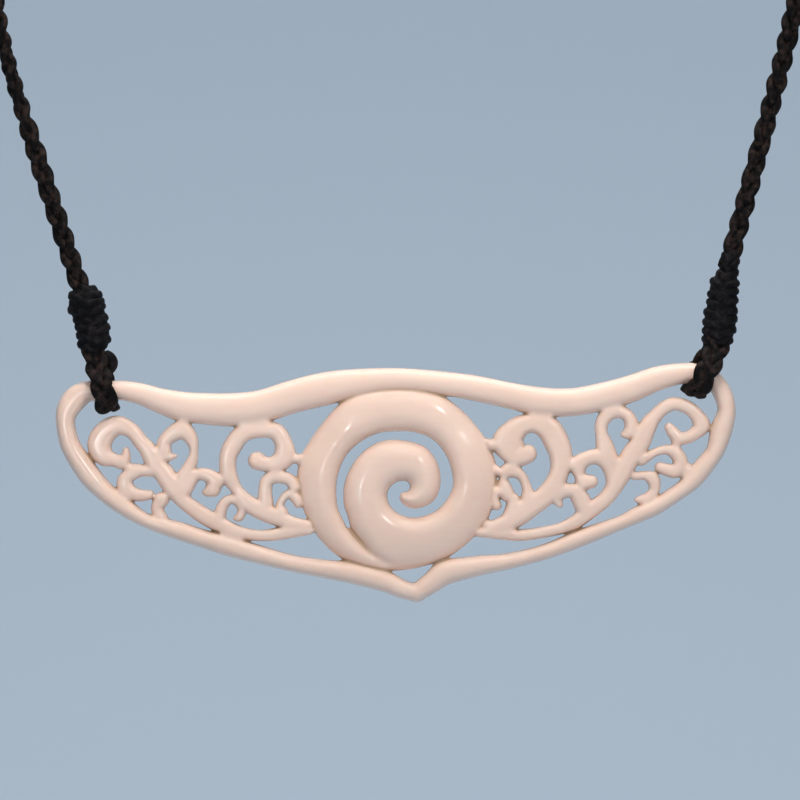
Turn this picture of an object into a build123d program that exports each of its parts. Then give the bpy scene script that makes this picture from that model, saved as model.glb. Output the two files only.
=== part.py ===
from build123d import *
import os
from math import atan2, degrees, hypot, pi, radians, sqrt, tan

# A carved bone breastplate of pierced koru scrolls, hung at both ends from a dark plaited cord.
# +X is to the right of the carved face, +Z is up, and the carved face looks towards -Y.
# The origin is the middle of the clasp at the nape. Lengths are in millimetres.

# The plate
plate_width = 90.0
plate_height = 31.8
nape_to_plate = 160.0
edge_wall = 1.2
back_depth = 1.2
rail_front = 1.9
scroll_front = 1.5
disc_front = 2.3
crown_share = 0.42
back_share = 0.8
groove_floor = 1.3

# The hanging loops round the top rail
loop_width = 3.0
loop_thickness = 1.25
loop_gap = 0.35
loop_room = 1.1
loop_edge = 0.5

# The wound bindings above the loops
binding_lift = 4.1
binding_diameter = 4.6
binding_neck = 3.4
binding_turn = 1.2
binding_swell = 0.16
binding_knot = 1.9
cord_gap = 0.3

# The neck cord and its clasp
cord_diameter = 2.9
clasp_length = 12.6
clasp_diameter = 5.6
clasp_edge = 0.9

# Share of the shorter run that an arc of the cord takes, and how closely a tight curl is trimmed
arc_share = 0.45
curl_tolerance = 0.02

# Strokes of the carving. Each row is a section along the stroke: its place across in per cent
# of the plate's width, its place up in per cent of the plate's height, both from the middle,
# and half the stroke's width in per cent of the plate's height.
TOP_RAIL = [
    (-45.4, 38.1, 4.2), (-43.4, 38.3, 4.0), (-40.4, 38.6, 4.1), (-37.5, 37.2, 4.5),
    (-34.6, 34.4, 5.2), (-31.6, 32.0, 6.2), (-28.7, 31.1, 6.5), (-24.3, 30.5, 7.0),
    (-19.9, 31.8, 6.9), (-15.4, 35.7, 6.9), (-11.0, 38.8, 7.0), (-6.6, 41.1, 6.3),
    (0.7, 42.9, 5.0), (8.1, 41.1, 5.1), (12.5, 39.1, 5.4), (16.9, 36.4, 5.5), (21.3, 34.0, 6.0),
    (25.7, 33.6, 5.9), (30.1, 35.7, 5.9), (34.6, 39.2, 5.7), (39.0, 43.9, 5.0), (43.4, 45.8, 4.2),
    (46.3, 43.8, 3.8),
]
RIGHT_RAIL = [
    (43.4, 45.8, 4.2), (46.3, 43.8, 3.8), (48.0, 38.5, 3.9), (48.8, 30.4, 3.8), (47.9, 21.9, 4.6),
    (47.0, 13.6, 3.8), (45.2, 7.2, 4.1), (43.6, 1.7, 4.0), (41.9, -2.7, 3.2), (38.5, -9.0, 3.4),
    (35.7, -12.6, 3.5), (33.2, -16.2, 2.8), (27.2, -22.7, 3.5), (22.1, -28.2, 3.1),
    (16.6, -32.2, 3.4), (12.4, -34.4, 4.2), (7.6, -37.2, 5.1), (5.4, -41.4, 4.5),
    (3.2, -45.7, 3.8),
]
LEFT_RAIL = [
    (-43.4, 38.3, 4.0), (-45.4, 38.1, 4.2), (-46.9, 35.5, 5.1), (-48.1, 31.0, 4.7),
    (-48.5, 26.2, 4.0), (-48.2, 20.0, 4.0), (-47.4, 14.4, 4.2), (-45.0, 4.0, 4.7),
    (-42.6, -3.3, 4.2), (-39.6, -9.8, 3.8), (-36.8, -14.9, 3.0), (-34.0, -17.6, 3.5),
    (-31.2, -20.0, 3.8), (-28.4, -22.6, 3.8), (-24.0, -26.3, 4.2), (-19.6, -29.9, 3.8),
    (-15.3, -33.3, 3.5), (-10.9, -35.5, 3.8), (-6.3, -37.5, 4.4), (-1.3, -41.2, 4.3),
    (1.0, -44.1, 3.9), (3.2, -45.7, 3.8),
]
SCROLLS = {
    "left_koru": [
        (-12.6, -19.8, 1.7), (-16.9, -21.1, 2.6), (-20.0, -21.8, 2.3), (-23.2, -20.1, 2.6),
        (-27.4, -14.8, 3.5), (-31.2, -7.2, 3.2), (-32.9, -0.8, 4.1), (-34.0, 4.0, 4.3),
        (-35.2, 7.7, 4.0), (-36.3, 13.5, 3.6), (-37.4, 17.2, 3.2), (-38.8, 21.9, 3.3),
        (-40.8, 24.0, 4.1), (-42.6, 21.2, 4.8), (-43.5, 16.0, 5.0), (-42.8, 11.2, 4.0),
        (-41.4, 9.7, 2.8), (-40.2, 8.8, 3.0), (-39.6, 11.2, 2.0), (-39.6, 13.8, 1.3),
    ],
    "left_lower_hook": [
        (-36.0, 5.0, 2.3), (-37.7, 5.0, 2.6), (-39.5, 2.3, 3.0), (-39.7, -1.2, 3.5),
        (-38.8, -4.0, 3.0), (-37.4, -5.1, 2.5), (-36.2, -4.8, 2.0), (-35.9, -3.6, 0.9),
    ],
    "left_drop": [
        (-34.4, -15.0, 2.9), (-35.0, -10.4, 2.5), (-34.4, -6.7, 3.5),
    ],
    "left_upper_hook": [
        (-31.2, 2.5, 2.9), (-30.0, 8.3, 2.5), (-29.6, 13.3, 1.8), (-30.0, 18.5, 2.8),
        (-31.5, 22.1, 3.8), (-33.8, 17.8, 2.9), (-33.9, 13.8, 2.8), (-33.4, 11.0, 1.9),
        (-32.3, 11.2, 0.8),
    ],
    "left_bud": [
        (-31.0, -2.5, 3.5), (-29.3, 3.3, 2.5), (-27.6, 3.2, 2.8), (-26.3, 0.8, 3.5),
    ],
    "left_bud_tip": [
        (-26.8, -2.5, 3.3), (-27.7, -3.9, 1.7), (-28.2, -3.7, 0.7),
    ],
    "left_small_hook": [
        (-25.8, -14.2, 2.5), (-25.5, -10.4, 2.4), (-24.6, -7.1, 2.0), (-23.5, -7.2, 1.8),
        (-22.6, -10.6, 1.7), (-22.8, -13.8, 1.9), (-23.4, -14.6, 1.2),
    ],
    "left_inner_koru": [
        (-12.8, -17.4, 1.8), (-15.4, -16.2, 2.7), (-18.4, -13.1, 3.7), (-21.3, -9.0, 3.5),
        (-23.2, -3.1, 2.5), (-24.4, 3.3, 3.4), (-24.6, 10.0, 3.6), (-23.9, 15.4, 3.9),
        (-22.4, 20.5, 3.7), (-20.0, 21.7, 2.9), (-17.6, 21.5, 3.6), (-16.4, 16.5, 3.7),
        (-16.3, 11.0, 4.5), (-17.6, 8.1, 3.5), (-19.2, 8.0, 3.1), (-20.3, 9.3, 3.8),
    ],
    "left_arch": [
        (-19.0, -8.3, 3.1), (-19.1, -3.8, 2.9), (-18.8, 1.0, 2.7), (-17.4, 2.6, 2.7),
        (-15.6, 1.5, 2.5), (-14.8, -1.9, 2.2),
    ],
    "left_curl": [
        (-16.6, -12.5, 2.5), (-16.9, -9.2, 1.7), (-16.2, -5.5, 1.7), (-15.3, -4.6, 2.0),
        (-14.5, -6.8, 2.2), (-14.3, -8.9, 1.5),
    ],
    "right_koru": [
        (12.5, -20.4, 2.1), (15.4, -21.2, 2.2), (18.4, -21.7, 2.4), (21.3, -20.7, 2.3),
        (24.3, -18.9, 2.4), (26.5, -16.2, 2.9), (28.7, -11.5, 3.3), (30.8, -5.4, 3.5),
        (32.8, 2.1, 3.8), (34.6, 10.8, 4.2), (36.2, 17.4, 4.0), (37.4, 24.6, 3.5),
        (38.5, 28.5, 2.8), (39.8, 31.7, 2.8), (41.2, 33.0, 2.8), (43.1, 31.5, 2.8),
        (44.4, 28.3, 2.9), (45.1, 24.2, 3.5), (44.3, 21.1, 2.8), (43.0, 19.0, 2.6),
        (41.8, 18.8, 2.7), (40.9, 21.1, 2.5), (40.3, 23.3, 1.8),
    ],
    "right_lower_hook": [
        (36.3, 9.4, 2.2), (38.2, 12.9, 1.9), (39.9, 13.9, 2.0), (41.4, 12.2, 2.8),
        (42.0, 8.3, 3.0), (41.2, 5.1, 2.9), (40.0, 5.5, 2.6), (39.0, 6.5, 2.2),
    ],
    "right_small_hook": [
        (35.3, 2.9, 1.7), (36.8, 3.1, 1.8), (37.9, 1.8, 2.8), (38.2, -2.3, 2.2),
        (37.5, -5.5, 2.2), (36.2, -6.9, 1.8), (35.6, -6.9, 1.1),
    ],
    "right_upper_hook": [
        (31.4, 9.9, 4.0), (30.9, 15.0, 3.7), (30.3, 20.4, 2.8), (30.3, 24.6, 2.9),
        (31.3, 28.5, 2.9), (32.8, 29.8, 2.7), (34.2, 28.1, 2.6), (34.8, 24.4, 2.8),
        (34.4, 21.0, 2.5), (33.6, 20.2, 1.2),
    ],
    "right_bud": [
        (31.3, -5.8, 1.9), (31.8, -1.2, 2.1), (31.8, 2.9, 2.5), (31.1, 7.9, 2.7),
        (29.7, 10.9, 3.1), (28.1, 10.1, 3.1), (27.0, 7.5, 3.5), (27.0, 2.7, 2.9),
        (27.8, 0.6, 3.3), (28.9, 0.6, 2.7),
    ],
    "right_curl": [
        (27.8, -10.2, 3.6), (27.3, -6.7, 3.8), (26.5, -3.5, 3.0), (24.9, -3.3, 2.9),
        (23.8, -6.0, 2.3), (24.2, -8.7, 1.5), (24.5, -9.2, 0.8),
    ],
    "right_inner_koru": [
        (13.7, -17.9, 2.3), (15.0, -17.9, 2.9), (17.6, -14.8, 3.9), (20.3, -9.4, 4.1),
        (22.7, -3.5, 4.2), (24.1, 3.8, 4.0), (24.4, 11.2, 4.7), (23.7, 17.5, 5.2),
        (22.5, 22.8, 5.0), (20.6, 24.6, 3.8), (18.6, 24.0, 4.2), (17.1, 20.2, 5.4),
        (16.2, 16.5, 5.2), (17.2, 11.2, 3.5), (18.3, 10.8, 3.8), (19.5, 12.1, 3.9),
    ],
    "right_arch": [
        (19.6, -7.1, 3.2), (19.4, -2.1, 2.0), (18.5, 3.3, 2.1), (16.7, 5.4, 3.1),
        (15.8, 2.5, 2.2), (16.1, -1.7, 3.0), (16.5, -4.6, 3.1),
    ],
    "right_foot": [
        (17.4, -6.7, 2.5), (17.2, -10.4, 2.7), (16.4, -15.2, 2.5), (15.0, -17.1, 2.1),
    ],
    "right_knop": [
        (14.7, -6.9, 2.0), (14.9, -9.8, 1.8),
    ],
}

# Rim of the big disc, as places across and up like those of the strokes
DISC_RIM = [
    (-14.3, 2.1), (-14.2, 7.1), (-13.7, 11.7), (-12.6, 17.0), (-11.2, 22.9), (-9.1, 30.3),
    (-7.6, 34.3), (-6.0, 37.2), (-4.0, 38.8), (-1.6, 39.7), (0.9, 40.0), (3.7, 39.2), (6.6, 36.8),
    (8.8, 32.8), (10.9, 27.1), (12.4, 21.9), (13.5, 17.3), (14.3, 12.3), (14.8, 7.5), (14.9, 0.8),
    (14.7, -5.0), (14.1, -11.7), (13.1, -17.5), (11.5, -22.7), (9.7, -27.1), (7.8, -30.8),
    (5.7, -33.3), (2.2, -35.7), (-1.5, -36.5), (-3.8, -35.6), (-6.0, -33.8), (-8.0, -31.0),
    (-9.9, -26.6), (-11.6, -21.1), (-12.9, -14.4), (-13.9, -6.9),
]

# Dome of the disc, from its crown to its rim: share of the rim's reach, share of the front
DISC_DOME = [(0.3, 1.0), (0.55, 0.93), (0.8, 0.72), (0.93, 0.47)]

# The spiral slot cut through the disc, and the groove that runs on from it
SPIRAL_SLOT = [
    (-6.9, -17.8, 0.8), (-7.5, -13.3, 1.2), (-8.0, -9.2, 1.3), (-8.1, -1.7, 1.5),
    (-7.6, 4.5, 1.8), (-6.8, 9.2, 2.0), (-5.8, 12.8, 2.0), (-4.3, 16.3, 1.8), (-2.2, 19.1, 1.7),
    (0.1, 19.8, 1.7), (2.6, 19.2, 2.0), (4.9, 16.7, 2.1), (6.5, 11.9, 2.2), (7.4, 5.8, 2.3),
    (7.6, -0.8, 2.5), (6.8, -6.5, 2.0), (5.4, -10.4, 1.8), (3.1, -12.5, 1.8), (1.2, -11.4, 2.0),
    (0.0, -8.1, 2.3), (-0.2, -4.6, 2.5), (0.5, -2.0, 2.4), (1.4, -1.4, 2.2),
]
SPIRAL_GROOVE = [
    (-6.8, -17.9, 0.7), (-5.1, -24.4, 1.0), (-3.1, -29.9, 0.9), (-1.4, -32.9, 0.5),
]

# Where the hanging loops sit on the top rail: across, up, and half the rail's height there
LEFT_SEAT = (-42.9, 38.4, 4.8)
RIGHT_SEAT = (44.8, 44.8, 4.7)

# Outline of a binding, from bottom to top: share of its length, share of its diameter
BINDING_OUTLINE = [(0.0, 0.7), (0.12, 0.86), (0.35, 1.0), (0.7, 0.97), (0.88, 0.86), (1.0, 0.7)]

# Route of each side of the neck cord, x and z, from the top of its binding to the clasp
LEFT_ROUTE = [
    (-41.7, -134.0), (-47.2, -117.4), (-52.6, -100.2), (-55.5, -79.0), (-55.0, -54.0),
    (-48.0, -29.0), (-34.5, -9.0), (-16.5, 0.0), (-clasp_length / 2, 0.0),
]
RIGHT_ROUTE = [
    (44.5, -129.6), (49.2, -112.4), (53.6, -94.8), (57.2, -73.5), (57.2, -50.0),
    (50.5, -27.0), (37.0, -9.0), (18.0, 0.0), (clasp_length / 2, 0.0),
]

# The plate lies so far back that the top rail is centred on the cord
plate_plane = (rail_front - back_depth) / 2


def spot(across, up):
    """Place on the plate's face, as x and z."""
    return across / 100 * plate_width, up / 100 * plate_height - nape_to_plate


def sections(rows):
    """Rows of a stroke as x, z and half width."""
    return [(*spot(across, up), half / 100 * plate_height) for across, up, half in rows]


def side(stroke, hand, share):
    """Points along one side of a stroke, without those that a tight curl would cover."""
    points = []
    last = len(stroke) - 1
    for number, (x, z, half) in enumerate(stroke):
        x0, z0, half0 = stroke[max(number - 1, 0)]
        x1, z1, half1 = stroke[min(number + 1, last)]
        run = hypot(x1 - x0, z1 - z0)
        along_x, along_z = (x1 - x0) / run, (z1 - z0) / run
        growth = (half1 - half0) / run
        square = sqrt(1 - growth * growth)
        px = x + half * share * (-hand * along_z * square - along_x * growth)
        pz = z + half * share * (hand * along_x * square - along_z * growth)
        clear = all(hypot(px - cx, pz - cz) > half2 * share - curl_tolerance for cx, cz, half2 in stroke)
        if clear or number in (0, last):
            points.append((px, pz))
    return points


def cap(end, inner, share, start, finish, y):
    """Round end of a stroke, from one side to the other."""
    run = hypot(end[0] - inner[0], end[1] - inner[1])
    tip_x = end[0] + (end[0] - inner[0]) / run * end[2] * share
    tip_z = end[1] + (end[1] - inner[1]) / run * end[2] * share
    return Edge.make_three_point_arc((start[0], y, start[1]), (tip_x, y, tip_z), (finish[0], y, finish[1]))


def stroke_wire(stroke, share, y):
    """Closed outline of a stroke, narrowed to a share of its width, at one depth."""
    one = side(stroke, 1, share)
    other = side(stroke, -1, share)
    return Wire([
        Edge.make_spline([(x, y, z) for x, z in one]),
        cap(stroke[-1], stroke[-2], share, one[-1], other[-1], y),
        Edge.make_spline([(x, y, z) for x, z in reversed(other)]),
        cap(stroke[0], stroke[1], share, other[0], one[0], y),
    ])


def rib(rows, front):
    """One carved strand: bevelled to a crown in front, with its edges eased behind."""
    stroke = sections(rows)
    depths = [
        (plate_plane - front, crown_share), (plate_plane - edge_wall / 2, 1.0),
        (plate_plane + edge_wall / 2, 1.0), (plate_plane + back_depth, back_share),
    ]
    return Solid.make_loft([stroke_wire(stroke, share, y) for y, share in depths], ruled=True)


def disc():
    """The domed disc, before the spiral is cut."""
    rim = [spot(across, up) for across, up in DISC_RIM]
    mid_x = sum(x for x, z in rim) / len(rim)
    mid_z = sum(z for x, z in rim) / len(rim)
    rings = [(share, plate_plane - disc_front * front) for share, front in DISC_DOME]
    rings += [(1.0, plate_plane - edge_wall / 2), (1.0, plate_plane + edge_wall / 2)]
    rings += [((1 + back_share) / 2, plate_plane + back_depth)]
    wires = []
    for share, y in rings:
        ring = [(mid_x + (x - mid_x) * share, y, mid_z + (z - mid_z) * share) for x, z in rim]
        wires.append(Wire([Edge.make_spline(ring, periodic=True)]))
    return Solid.make_loft(wires, ruled=True)


def stroke_cutter(rows, front, back):
    """Tool that cuts a stroke out of the plate between two depths."""
    stroke = sections(rows)
    return Solid.make_loft([stroke_wire(stroke, 1.0, front), stroke_wire(stroke, 1.0, back)], ruled=True)


def carved_plate():
    """The whole plate: rails, scrolls and disc in one piece, pierced by the spiral."""
    strands = [rib(rows, rail_front) for rows in (TOP_RAIL, RIGHT_RAIL, LEFT_RAIL)]
    strands += [rib(rows, scroll_front) for rows in SCROLLS.values()]
    plate = disc().fuse(*strands)
    clear_front = plate_plane - 2 * disc_front
    clear_back = plate_plane + 2 * back_depth
    plate = plate.cut(stroke_cutter(SPIRAL_SLOT, clear_front, clear_back))
    return plate.cut(stroke_cutter(SPIRAL_GROOVE, clear_front, plate_plane - groove_floor))


def leaning(seat, route):
    """Frame at a seat on the rail, with local Z towards the cord, and the way to the cord."""
    x, z = spot(*seat[:2])
    top_x, top_z = route[0]
    lean = degrees(atan2(top_x - x, top_z - z))
    return Location((x, 0, z), (0, lean, 0)), hypot(top_x - x, top_z - z)


def hanging_loop(seat, route):
    """Soft cord loop round the rail: a flattened band, drawn together under its binding."""
    frame, length = leaning(seat, route)
    inner = (rail_front + back_depth) / 2 + loop_room
    outer = inner + loop_thickness
    low = inner - seat[2] / 100 * plate_height - loop_gap
    neck = binding_neck / 2
    outside = make_hull([Pos(0, low) * Circle(outer).edge(), Pos(0, binding_lift) * Circle(neck).edge()])
    inside = make_hull([
        Pos(0, low) * Circle(inner).edge(),
        Pos(0, binding_lift) * Circle(neck - loop_thickness).edge(),
    ])
    above = Pos(0, binding_lift + outer) * Rectangle(4 * outer, 2 * outer)
    band = extrude(Plane.YZ * (outside - inside - above), loop_width / 2, both=True)
    return frame * fillet(band.edges().filter_by(Plane.YZ), loop_edge)


def reach(share):
    """Half width of a binding at a share of its length, without its turns."""
    for (low, low_width), (high, high_width) in zip(BINDING_OUTLINE, BINDING_OUTLINE[1:]):
        if share <= high:
            break
    part_way = (share - low) / (high - low)
    return (low_width + (high_width - low_width) * part_way) * binding_diameter / 2


def binding(seat, route, knot_side):
    """Wound thread over the joint of loop and cord: one ridge for each turn."""
    frame, length = leaning(seat, route)
    tall = length - cord_gap - binding_lift
    turns = round(tall / binding_turn)
    outline = []
    for number in range(turns):
        foot, crest, brow = number / turns, (number + 0.5) / turns, (number + 1) / turns
        outline.append(ThreePointArc(
            (reach(foot), binding_lift + foot * tall),
            (reach(crest) + binding_swell, binding_lift + crest * tall),
            (reach(brow), binding_lift + brow * tall),
        ))
    head = binding_lift + tall
    outline.append(Polyline((reach(1), head), (0, head), (0, binding_lift), (reach(0), binding_lift)))
    wound = revolve(Plane.XZ * make_face(outline), Axis.Z)
    if knot_side:
        place = Pos(knot_side * (reach(0) + binding_swell), 0, binding_lift + binding_knot / 2)
        wound += place * Sphere(binding_knot / 2)
    return frame * wound


def neck_cord(name, route):
    """One side of the neck cord: straight runs joined by arcs as large as the runs allow."""
    points = [Vector(x, 0, z) for x, z in route]
    radii = []
    for before, corner, after in zip(points, points[1:], points[2:]):
        turn = (corner - before).get_angle(after - corner)
        run = min((corner - before).length, (after - corner).length)
        radii.append(arc_share * run / tan(radians(turn / 2)))
    path = FilletPolyline(*points, radius=radii)
    start = Plane(path @ 0, z_dir=path % 0)
    tube = sweep(start * Circle(cord_diameter / 2), path)
    section = pi * cord_diameter ** 2 / 4
    print(name, "radii", [round(radius, 1) for radius in radii], "length", round(path.length, 1),
          "volume over section times length", round(tube.volume / (section * path.length), 4))
    return tube


def clasp():
    """Plain bone barrel that closes the cord at the nape."""
    barrel = Rot(0, 90, 0) * Cylinder(clasp_diameter / 2, clasp_length)
    return fillet(barrel.edges().filter_by(GeomType.CIRCLE), clasp_edge)


nodes = {
    "carved_plate": carved_plate(),
    "left_hanging_loop": hanging_loop(LEFT_SEAT, LEFT_ROUTE),
    "right_hanging_loop": hanging_loop(RIGHT_SEAT, RIGHT_ROUTE),
    "left_binding": binding(LEFT_SEAT, LEFT_ROUTE, 1),
    "right_binding": binding(RIGHT_SEAT, RIGHT_ROUTE, 0),
    "left_cord": neck_cord("left_cord", LEFT_ROUTE),
    "right_cord": neck_cord("right_cord", RIGHT_ROUTE),
    "nape_clasp": clasp(),
}

os.makedirs("parts", exist_ok=True)
for name, shape in nodes.items():
    export_step(shape, f"parts/{name}.step")
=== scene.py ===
# Koru pendant: a pierced bone breastplate on a black plaited cord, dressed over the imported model.
import math

import bpy
import numpy as np
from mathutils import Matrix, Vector


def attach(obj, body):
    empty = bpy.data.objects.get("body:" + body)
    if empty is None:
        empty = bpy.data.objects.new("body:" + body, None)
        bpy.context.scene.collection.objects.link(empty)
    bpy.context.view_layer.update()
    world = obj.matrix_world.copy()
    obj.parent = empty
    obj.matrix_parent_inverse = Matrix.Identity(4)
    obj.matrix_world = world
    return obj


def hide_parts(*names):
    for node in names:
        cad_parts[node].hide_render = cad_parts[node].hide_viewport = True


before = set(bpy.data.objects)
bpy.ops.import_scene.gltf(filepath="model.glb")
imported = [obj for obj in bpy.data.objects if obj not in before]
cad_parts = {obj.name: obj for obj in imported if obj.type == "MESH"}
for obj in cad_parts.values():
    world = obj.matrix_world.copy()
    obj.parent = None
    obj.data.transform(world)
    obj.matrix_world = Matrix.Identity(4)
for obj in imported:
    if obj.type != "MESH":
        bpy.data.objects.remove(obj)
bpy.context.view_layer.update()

# Shapes are worked out in millimetres and written to Blender in metres
MM = 0.001

# The plate: its size, where its middle and its plane lie, how far each part of the carving stands
# in front of that plane, and how far the back lies behind it
plate_width = 90.0
plate_height = 31.8
plate_middle_z = -160.0
plate_plane = 0.35
rail_front = 1.9
scroll_front = 1.5
web_front = 1.4
disc_front = 2.3
back_depth = 1.2

# Fine grid that the carving is worked out on, and the coarser one that its mesh starts from
fine_step = 0.1
mesh_step = 0.228
mesh_step_deep = 0.36
plate_margin = 1.2

# The carving is kept as the square of its front height: this one lies well outside the bone
outside = -2.5

# Strands: how high a thin one stands beside a full one, the half width from which one is full,
# how flat the top is, and the slope past the edge
thin_share = 0.72
full_half_width = 1.15
rail_power = 2.6
scroll_power = 4.6
power_outside = 2.6

# How many samples of a strand are worked out at once, and how many half widths round them
strand_part = 16
strand_window = 1.6

# Fillets where strands meet: wide at the edge of an opening, small on top
corner_fill = 1.8
groove_fill = 0.45
edge_square = 0.9
ease_power = 1.5

# Strands that run together: the square height that the bone between them is lifted to, how far
# in from an opening, the fillet on it and its least share, and the rounds of smoothing
merge_level = 1.9
merge_reach = 0.8
merge_fill = 0.7
merge_least = 0.01
merge_rounds = 8

# The disc: how fast strands sink under its rim and how far in, its fillet, the power that its
# dome falls by, and how many radii out it is worked out
under_disc = 4.5
tuck_reach = 1.5
disc_fill = 0.9
rim_power = 5.2
past_rim = 1.3

# Where the disc is flush with the top rail: degrees round its middle, and what changes there
flush_lean = 4.0
flush_to = 58.0
flush_over = 34.0
flush_fill = 1.1
flush_tuck = 0.25
rim_power_flush = 13

# Shoulders of the spiral slot and its groove
slot_shoulder = 2.6
shoulder_power = 2.4
groove_floor = 0.2

# The back, flat with eased edges
back_square = 0.8
back_power = 6

# Rounds of smoothing for the carving, and for the level that depth in a groove is told from
carving_rounds = 2
groove_rounds = 70

# How the mesh is drawn on to the carving: rounds, the probe for the slope and the least slope
fit_rounds = 4
fit_probe = 0.02
fit_slope = 0.3

# Plaited cords: the diameter over all, the way that a strand goes for one full weave, how far it
# weaves to each side and in depth, half its own width and depth, and its twist of thinner yarns
plait_turn = 8.9
plait_side = 0.68
plait_deep = 0.42
strand_side = 0.66
strand_deep = 0.6
strand_yarns = 4
strand_lay = 3.4
yarn_depth = 0.07

# How far the neck cord's flat plait turns to and fro, how unevenly every plait is pulled, and the
# waves of both along the cord: how far a wave goes for one radian, and its shift
cord_wander = 0.22
WANDER_WAVES = [(5.3, 0.0), (8.9, 1.7)]
loose_share = 0.05
LOOSE_WAVES = [(3.1, 0.4), (1.9, 0.0)]

# Steps between the rings of a strand and of a binding's core, and between the samples that a
# loop, a binding and a knot are worked out from
cord_step = 0.24
loop_step = 0.22
core_step = 0.2
loop_sample = 0.2
binding_sample = 0.1
knot_sample = 0.12

# Sides of a ring of wound thread, of a plait's strand and of a binding's core
thread_sides = 12
strand_sides = 14
core_sides = 28

# How far up the left cord its flat plait turns edge on, and how far that reaches to each side
edge_on_at = 30.0
edge_on_reach = 8.0

# Length of each cord's end inside its binding, and its steps
hidden_end = 1.9
hidden_steps = 8

# The same plait where it is pressed flat round the rail, and its way from binding to binding:
# to the side, back and up from the middle of the rail, each in a frame that leans with the cord
loop_side = 0.95
loop_deep = 0.17
loop_strand_side = 0.68
loop_strand_deep = 0.44
LEFT_LOOP = [
    (0.0, -0.9, 6.4), (0.0, -1.2, 4.3), (0.15, -2.55, 2.2), (0.25, -3.25, 0.7), (0.2, -2.3, -1.55),
    (0.1, 0.0, -2.5), (0.0, 2.3, -1.55), (0.0, 3.25, 0.7), (0.0, 2.55, 2.2), (0.0, 1.2, 4.3),
    (0.0, 0.9, 6.4),
]
RIGHT_LOOP = [
    (1.1, -0.9, 6.4), (1.2, -1.3, 4.3), (0.95, -2.55, 2.4), (0.55, -3.25, 0.7), (0.15, -2.3, -1.55),
    (-0.15, 0.0, -2.5), (-0.55, 2.3, -1.55), (-0.6, 3.25, 0.2), (0.3, 2.7, 1.8), (1.0, 1.4, 3.7),
    (1.1, 0.9, 5.4),
]

# Bindings of wound thread: a turn's pitch, half its width along and out, how far it drops to the
# sides, how many degrees it goes round to each side, and how far its ends are tucked in
thread_pitch = 1.28
thread_along = 0.6
thread_out = 0.5
thread_drop = 1.1
thread_span = 110
thread_tuck = 0.45
tuck_from = 0.6
first_turn = 1.2
turn_points = 41
thread_yarns = 3
thread_lay = 1.6
least_radius = 0.2
binding_depth = 0.95

# How unevenly the turns lie, and how they differ in thickness
turn_shift = 0.07
TURN_SIZES = (0.92, 1.08)

# How far to each side a binding's direction is taken from
direction_probe = 0.4

# The solid core under the turns
core_inset = 0.3
least_core = 0.3

# Rows of a stroke: per cent of the plate's width across, per cent of its height up, and half the
# stroke's width in per cent of the plate's height, close to those in the part's source
TOP_RAIL = [
    (-45.4, 38.1, 4.2), (-43.4, 38.3, 4.0), (-40.4, 38.6, 4.1), (-37.5, 37.2, 4.5),
    (-34.6, 34.4, 5.2), (-31.6, 32.0, 6.2), (-28.7, 31.1, 6.5), (-24.3, 30.5, 7.0),
    (-19.9, 31.8, 6.9), (-15.4, 35.7, 6.9), (-11.0, 38.8, 7.0), (-6.6, 41.1, 6.3),
    (0.7, 42.9, 5.0), (8.1, 41.1, 5.1), (12.5, 39.1, 5.4), (16.9, 36.4, 5.5), (21.3, 34.0, 6.0),
    (25.7, 33.6, 5.9), (30.1, 35.7, 5.9), (34.6, 39.2, 5.7), (39.0, 43.9, 5.0), (43.4, 45.8, 4.2),
    (46.3, 43.8, 3.8),
]
RIGHT_RAIL = [
    (43.4, 45.8, 4.2), (46.3, 43.8, 3.8), (48.0, 38.5, 3.9), (48.8, 30.4, 3.8), (48.0, 21.9, 4.6),
    (47.1, 13.4, 3.8), (45.4, 6.8, 4.1), (43.8, 1.3, 4.0), (42.0, -3.1, 3.4), (38.6, -9.4, 3.5),
    (35.8, -13.0, 3.5), (33.2, -16.5, 3.0), (27.2, -23.0, 3.6), (22.1, -28.6, 3.2),
    (16.6, -32.6, 3.4), (12.4, -34.4, 4.2), (7.6, -37.2, 5.1), (5.4, -41.4, 4.5),
    (3.2, -45.7, 3.8),
]
LEFT_RAIL = [
    (-43.4, 38.3, 4.0), (-45.4, 38.1, 4.2), (-46.9, 35.5, 5.1), (-48.1, 31.0, 4.7),
    (-48.5, 26.2, 4.0), (-48.2, 20.0, 4.0), (-47.5, 14.2, 4.2), (-45.1, 3.8, 4.6),
    (-42.7, -3.5, 4.1), (-39.7, -10.1, 3.8), (-36.9, -15.2, 3.0), (-34.1, -17.9, 3.5),
    (-31.3, -20.3, 3.8), (-28.5, -22.9, 3.8), (-24.0, -26.6, 4.2), (-19.6, -30.1, 3.8),
    (-15.3, -33.3, 3.5), (-10.9, -35.5, 3.8), (-6.3, -37.5, 4.4), (-1.3, -41.2, 4.3),
    (1.0, -44.1, 3.9), (3.2, -45.7, 3.8),
]
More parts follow.
